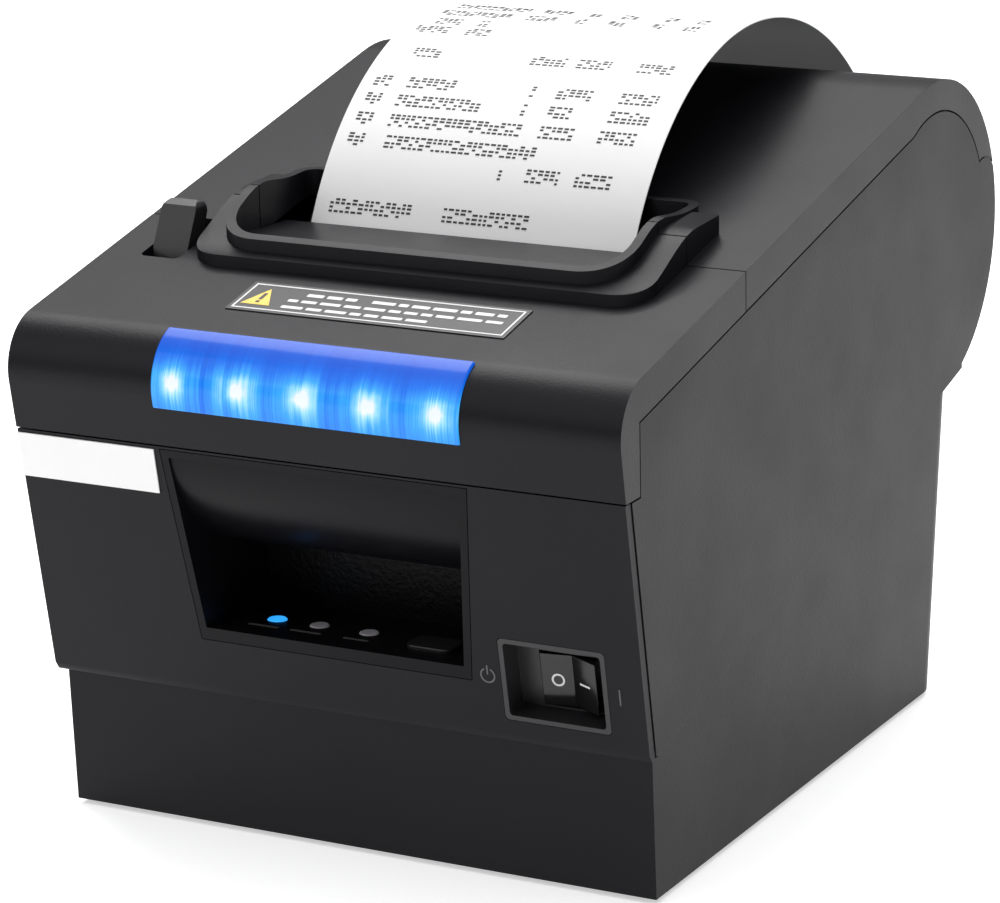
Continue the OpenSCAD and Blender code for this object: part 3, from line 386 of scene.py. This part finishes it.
def print_on(name, outlines, place, out, look, body):
    verts, faces = flat_shape(outlines, place, out)
    return add(name, mesh_from(name, verts, faces), look, body)


for node, (look, width) in NODE_LOOKS.items():
    if width:
        crisp(node, look, width)
    else:
        mesh = frame["nodes"][node].data
        mesh.materials.clear()
        mesh.materials.append(LOOKS[look].material)


# ------------------------------------------------------------------ receipt

def receipt_path(step=1.6):
    """The paper's middle line as (y, z, direction) from the cut upwards, in mm and degrees."""
    y, z, heading = -29.65, 111.9, 90.0
    line = [(y, z, heading)]
    for radius, end in ((25.0, 61.0), (None, 2.5), (71.0, 0.0), (82.0, -50.0)):
        if radius is None:
            y += end * math.cos(math.radians(heading))
            z += end * math.sin(math.radians(heading))
            line.append((y, z, heading))
            continue
        n = max(2, round(math.radians(heading - end) * radius / step))
        cy = y + radius * math.sin(math.radians(heading))
        cz = z - radius * math.cos(math.radians(heading))
        start = heading
        for i in range(1, n + 1):
            heading = start + (end - start) * i / n
            y = cy - radius * math.sin(math.radians(heading))
            z = cz + radius * math.cos(math.radians(heading))
            line.append((y, z, heading))
    return line


def out_of(point, e):
    """The point moved e mm towards the convex side."""
    y, z, heading = point
    return y - e * math.sin(math.radians(heading)), z + e * math.cos(math.radians(heading))


def receipt():
    line = receipt_path()
    n, columns = len(line), 8
    verts, faces, kinds = [], [], []
    for side in (1, -1):
        for p in line:
            y, z = out_of(p, side * PAPER_T / 2)
            verts += [(-PAPER_HALF + 2 * PAPER_HALF * i / columns, y, z) for i in range(columns + 1)]
    row, back = columns + 1, n * (columns + 1)
    for i in range(n - 1):
        for j in range(columns):
            a = i * row + j
            faces.append([a, a + 1, a + row + 1, a + row])
            faces.append([back + a, back + a + row, back + a + row + 1, back + a + 1])
            kinds += [0, 1]
        for j in (0, columns):
            a = i * row + j
            quad = [a, a + row, back + a + row, back + a]
            faces.append(quad if j == 0 else quad[::-1])
            kinds.append(0)
    for i in (0, n - 1):
        for j in range(columns):
            a = i * row + j
            quad = [a, back + a, back + a + 1, a + 1]
            faces.append(quad if i == 0 else quad[::-1])
            kinds.append(0)
    mesh = mesh_from("receipt_sheet", verts, faces)
    mesh.materials.append(LOOKS["paper"].material)
    # The back faces take the dark back material: painted shade under the receipt's arch, on paper that is
    # white
    mesh.materials.append(LOOKS["paper_back_painted_shade"].material)
    mesh.polygons.foreach_set("material_index", kinds)
    mesh.shade_smooth()
    mesh.set_sharp_from_angle(angle=math.radians(SHEET_EDGE_ANGLE))
    return add("receipt_sheet", mesh, "paper", BODY_OF["receipt"], "receipt")


def on_receipt(x, s, out):
    """A point on the convex side of the receipt, s mm along it from the cut."""
    left, line = s, receipt_path(0.4)
    for p, q in zip(line, line[1:]):
        d = math.dist(p[:2], q[:2])
        if left <= d:
            t = left / d
            mid = tuple(a + (b - a) * t for a, b in zip(p, q))
            y, z = out_of(mid, PAPER_T / 2 + out)
            return (x, y, z)
        left -= d
    raise ValueError("past the end of the receipt")


def words(rng, x0, x1, s, high):
    """Generic print: short dashes at a few heights, with no letter shapes."""
    x, marks = x0, []
    while x < x1 - 0.5:
        w = rng.uniform(0.7, 1.3)
        for tier in rng.sample((0.0, 0.3, 0.6, 0.86), 3):
            marks.append(bar(x, min(x + w, x1), s + tier * high, s + (tier + 0.14) * high))
        x += w + 0.45
    return marks


# Rows of print: distance from the cut, height, and the spans across the paper, in mm
ROWS = [
    (14.4, 3.2, [(-36, -15), (-7.5, 13.5)]),
    (25.2, 3.2, [(3.3, 4.4), (10, 18), (22, 31)]),
    (30.7, 3.2, [(-36.5, -32.5), (-27, 10.5)]),
    (36.4, 3.2, [(-36.5, -32.5), (-28, 5), (9.5, 18.5), (24, 33.5)]),
    (42.1, 3.2, [(-36.5, -32.5), (-28.5, -7.5), (3, 4), (9.5, 16), (24.5, 34)]),
    (47.7, 3.2, [(-36.5, -32.5), (-28, -15.5), (3, 4), (9.5, 18.5), (25, 34)]),
    (58.2, 3.2, [(-31.5, -24), (-1.5, 7), (10, 18), (25, 33.5)]),
    (68.4, 3.0, [(-36, -27), (-23, -16.5)]),
    (73.0, 3.0, [(-33, -26), (-22, -19)]),
    (78.5, 3.0, [(-34.5, -16), (-12.5, -5), (0, 3), (8, 12.5), (19, 22), (27, 31)]),
    (84.0, 3.0, [(-33, -14), (-11, -4), (1, 4), (9, 13), (20, 23), (28, 31)]),
]

receipt()
rng = random.Random(4)
marks = []
for s, high, spans in ROWS:
    for x0, x1 in spans:
        marks += words(rng, x0, x1, s, high)
print_on("receipt_print", marks, on_receipt, 0.012, "ink", BODY_OF["receipt"])


# ------------------------------------------------------------------ prints and marks

# The notice: an outline, a plain triangle and rows of bars
label = (-29.4, 36.9, 21.0, 34.3)
x0, x1, v0, v1 = label[0] + 0.9, label[1] - 0.9, label[2] + 0.9, label[3] - 0.9
edge = 0.42
frame_bars = [bar(x0, x1, v0, v0 + edge), bar(x0, x1, v1 - edge, v1),
              bar(x0, x0 + edge, v0 + edge, v1 - edge), bar(x1 - edge, x1, v0 + edge, v1 - edge)]
rng = random.Random(9)
rows = []
notice_rows = ((30.0, [(-14.5, -2.5), (1.2, 33.0)], 1.7), (27.0, [(-17.5, 33.5)], 1.5),
               (24.0, [(-17.5, 18.0)], 1.5))
for v, spans, high in notice_rows:
    for a, b in spans:
        x = a
        while x < b:
            w = rng.uniform(2.2, 6.0)
            rows.append(bar(x, min(x + w, b), v - 0.3, v - 0.3 + high * 0.75, 0.25))
            x += w + 0.9
print_on("notice_print", frame_bars + rows, on_top, 0.2, "print_white", "cover")
tri = [(-27.4, 24.0), (-20.4, 24.0), (-23.9, 31.4)]
print_on("notice_triangle", [tri], on_top, 0.2, "print_yellow", "cover")
tri_mark = [bar(-24.3, -23.5, 26.3, 29.2), bar(-24.3, -23.5, 24.9, 25.7)]
print_on("notice_triangle_mark", tri_mark, on_top, 0.27, "label", "cover")

# Power sign beside the switch, and a small mark on its other side
power = ring(36.6, 15.0, 1.75, 0.34, 115, 310) + [bar(36.43, 36.77, 15.2, 17.3)]
print_on("power_sign", power, on_face, 0.0, "print_grey", "case")
print_on("switch_tick", [bar(66.7, 67.0, 12.6, 16.2)], on_face, 0.0, "print_grey", "case")


def on_rocker(side):
    """Placement on one half of the rocker's face: side -1 is left and 1 is right."""
    tilt = math.radians(ROCKER_TILT)

    def place(a, b, out):
        # the face runs from the dip in the middle out and up to the edge
        run = Vector((side * ROCKER_EDGE[0], ROCKER_EDGE[1])).normalized()
        up = Vector((-run.y, run.x)) * side
        p = Vector((0, ROCKER_DIP)) + run * a + up * out
        x = p.x * math.cos(tilt) - p.y * math.sin(tilt)
        h = p.x * math.sin(tilt) + p.y * math.cos(tilt)
        return on_face(ROCKER_AT[0] + x, ROCKER_AT[1] + b, ROCKER_AT[2] + h)
    return place


print_on("rocker_ring", ring(3.4, 0.0, 1.45, 0.42), on_rocker(-1), 0.0, "print_white", "rocker")
print_on("rocker_dash", [bar(1.9, 4.9, -0.22, 0.22)], on_rocker(1), 0.0, "print_white", "rocker")


def on_floor(x, y, out):
    """A point on the floor of the recess."""
    return (x, y, 49.1 - (y + 100) * 2.3 / 37 + out)


caption_spans = ((-21.5, 7.5), (-11, 7.5), (1.2, 6.0), (18.5, 7.0))
captions = [bar(x - w / 2, x + w / 2, -83.3, -82.3, 0.3) for x, w in caption_spans]
print_on("lamp_captions", captions, on_floor, 0.0, "print_grey", "case")


# ------------------------------------------------------------------ stage

def floor():
    half = 6000
    corners = [(-half, -half, 0), (half, -half, 0), (half, half, 0), (-half, half, 0)]
    mesh = mesh_from("floor", corners, [[0, 1, 2, 3]])
    look = Look("floor_paint", (0.93, 0.93, 0.93), 0.6, specular=0.2).vary(3, 0.01)
    look.shader.inputs["Emission Color"].default_value = (1, 1, 1, 1)
    look.shader.inputs["Emission Strength"].default_value = 0.5
    mesh.materials.append(look.material)
    piece = bpy.data.objects.new("floor", mesh)
    scene.collection.objects.link(piece)


def area(name, at, target, size, power, color=(1, 1, 1)):
    data = bpy.data.lights.new(name, "AREA")
    data.shape = "RECTANGLE"
    data.size, data.size_y = size
    data.energy = power
    data.color = color
    lamp = bpy.data.objects.new(name, data)
    scene.collection.objects.link(lamp)
    lamp.location = at
    lamp.rotation_euler = (Vector(target) - Vector(at)).to_track_quat("-Z", "Y").to_euler()
    return lamp


def camera():
    a, e, r = (math.radians(v) for v in (CAMERA_TURN, CAMERA_TILT, CAMERA_ROLL))
    back = Vector((math.sin(a) * math.cos(e), -math.cos(a) * math.cos(e), math.sin(e)))
    right = Vector((math.cos(a), math.sin(a), 0))
    up = back.cross(right)
    right, up = math.cos(r) * right + math.sin(r) * up, -math.sin(r) * right + math.cos(r) * up
    data = bpy.data.cameras.new("camera")
    data.lens, data.sensor_width = LENS, 36
    data.clip_end = 50
    cam = bpy.data.objects.new("camera", data)
    scene.collection.objects.link(cam)
    turn = Matrix((right, up, back)).transposed().to_4x4()
    cam.matrix_world = Matrix.Translation(CAMERA_AT) @ turn
    scene.camera = cam


floor()
area("key", (-0.35, 0.55, 1.15), (0, 0, 0.1), (1.3, 0.9), 16)
area("front", (-0.9, -1.3, 1.0), (0, 0, 0.08), (1.2, 1.0), 4.5)
area("side", (1.5, 0.1, 0.75), (0, 0, 0.08), (0.9, 1.0), 2.5)
area("overhead", (0.0, -0.2, 2.4), (0, 0, 0), (3.0, 3.0), 38, (0.985, 0.98, 1.0))
world = bpy.data.worlds.new("studio")
world.use_nodes = True
world.node_tree.nodes["Background"].inputs["Color"].default_value = (1, 1, 1, 1)
world.node_tree.nodes["Background"].inputs["Strength"].default_value = 0.28
scene.world = world
scene.view_settings.view_transform = "Standard"
camera()
